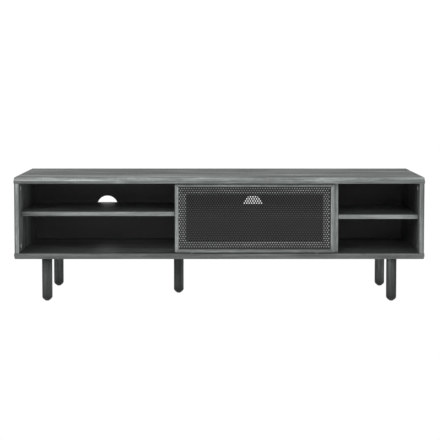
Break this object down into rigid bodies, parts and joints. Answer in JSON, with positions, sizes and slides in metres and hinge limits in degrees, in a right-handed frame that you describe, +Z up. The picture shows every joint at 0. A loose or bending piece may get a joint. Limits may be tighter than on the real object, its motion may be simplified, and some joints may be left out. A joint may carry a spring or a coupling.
{
  "type": "media stand with sliding door",
  "caption": "Low media stand with open side compartments, shelves, and one sliding door with a perforated metal panel over the middle compartment, on five short round legs.",
  "frame": {"origin": "on the floor, at the centre of the bounding box's footprint", "axes": "+X along the width towards the right as seen from the front, +Y towards the back, +Z up; the front faces -Y"},
  "size_m": [1.702, 0.395, 0.5215],
  "materials": {
    "charcoal_wood": "satin charcoal-grey wood-grain laminate",
    "charcoal_wood_leg": "satin charcoal-grey wood grain, darker than the boards",
    "dark_back_board": "matt dark charcoal paper-faced board",
    "perforated_steel": "matt near-black powder coat",
    "zinc_steel": "zinc plated",
    "black_plastic": "matt black",
    "nylon": "natural nylon"
  },
  "bodies": {
    "carcass": {"top_panel": "charcoal_wood", "bottom_panel": "charcoal_wood", "left_side_panel": "charcoal_wood", "right_side_panel": "charcoal_wood", "left_divider": "charcoal_wood", "right_divider": "charcoal_wood", "back_panel_left": "dark_back_board", "back_panel_centre": "dark_back_board", "back_panel_right": "dark_back_board", "shelf_left": "charcoal_wood", "shelf_centre": "charcoal_wood", "shelf_right": "charcoal_wood", "shelf_pin_left_left_front": "zinc_steel", "shelf_pin_left_left_rear": "zinc_steel", "shelf_pin_left_right_front": "zinc_steel", "shelf_pin_left_right_rear": "zinc_steel", "shelf_pin_centre_left_front": "zinc_steel", "shelf_pin_centre_left_rear": "zinc_steel", "shelf_pin_centre_right_front": "zinc_steel", "shelf_pin_centre_right_rear": "zinc_steel", "shelf_pin_right_left_front": "zinc_steel", "shelf_pin_right_left_rear": "zinc_steel", "shelf_pin_right_right_front": "zinc_steel", "shelf_pin_right_right_rear": "zinc_steel", "cam_lock_left_top": "zinc_steel", "cam_lock_left_bottom": "zinc_steel", "cam_lock_right_top": "zinc_steel", "cam_lock_right_bottom": "zinc_steel", "leg_front_left": "charcoal_wood_leg", "leg_bolt_front_left": "zinc_steel", "glide_front_left": "black_plastic", "leg_front_right": "charcoal_wood_leg", "leg_bolt_front_right": "zinc_steel", "glide_front_right": "black_plastic", "leg_rear_left": "charcoal_wood_leg", "leg_bolt_rear_left": "zinc_steel", "glide_rear_left": "black_plastic", "leg_rear_right": "charcoal_wood_leg", "leg_bolt_rear_right": "zinc_steel", "glide_rear_right": "black_plastic", "leg_middle": "charcoal_wood_leg", "leg_bolt_middle": "zinc_steel", "glide_middle": "black_plastic", "bottom_track": "black_plastic", "top_track": "black_plastic"},
    "door": {"door_top_rail": "charcoal_wood", "door_bottom_rail": "charcoal_wood", "door_left_stile": "charcoal_wood", "door_right_stile": "charcoal_wood", "door_mesh_panel": "perforated_steel", "roller_housing_left": "black_plastic", "roller_housing_right": "black_plastic", "roller_axle_left": "zinc_steel", "roller_axle_right": "zinc_steel", "top_guide_left": "black_plastic", "top_guide_right": "black_plastic"},
    "roller_left": {"roller_left": "nylon"},
    "roller_right": {"roller_right": "nylon"}
  },
  "joints": [
    {"name": "door_slide", "type": "slide", "parent": "carcass", "child": "door", "axis": [1, 0, 0], "range_m": [-0.643, 0.35]},
    {"name": "roller_left_spin", "type": "hinge", "parent": "door", "child": "roller_left", "pos_m": [-0.1133, -0.1835, 0.20965], "axis": [0, 1, 0], "range_deg": [-4200, 2300]},
    {"name": "roller_right_spin", "type": "hinge", "parent": "door", "child": "roller_right", "pos_m": [0.4069, -0.1835, 0.20965], "axis": [0, 1, 0], "range_deg": [-4200, 2300]}
  ],
  "couplings": [
    {"joint": "roller_left_spin", "follows": "door_slide", "rad_per_m": 111.11},
    {"joint": "roller_right_spin", "follows": "door_slide", "rad_per_m": 111.11}
  ]
}
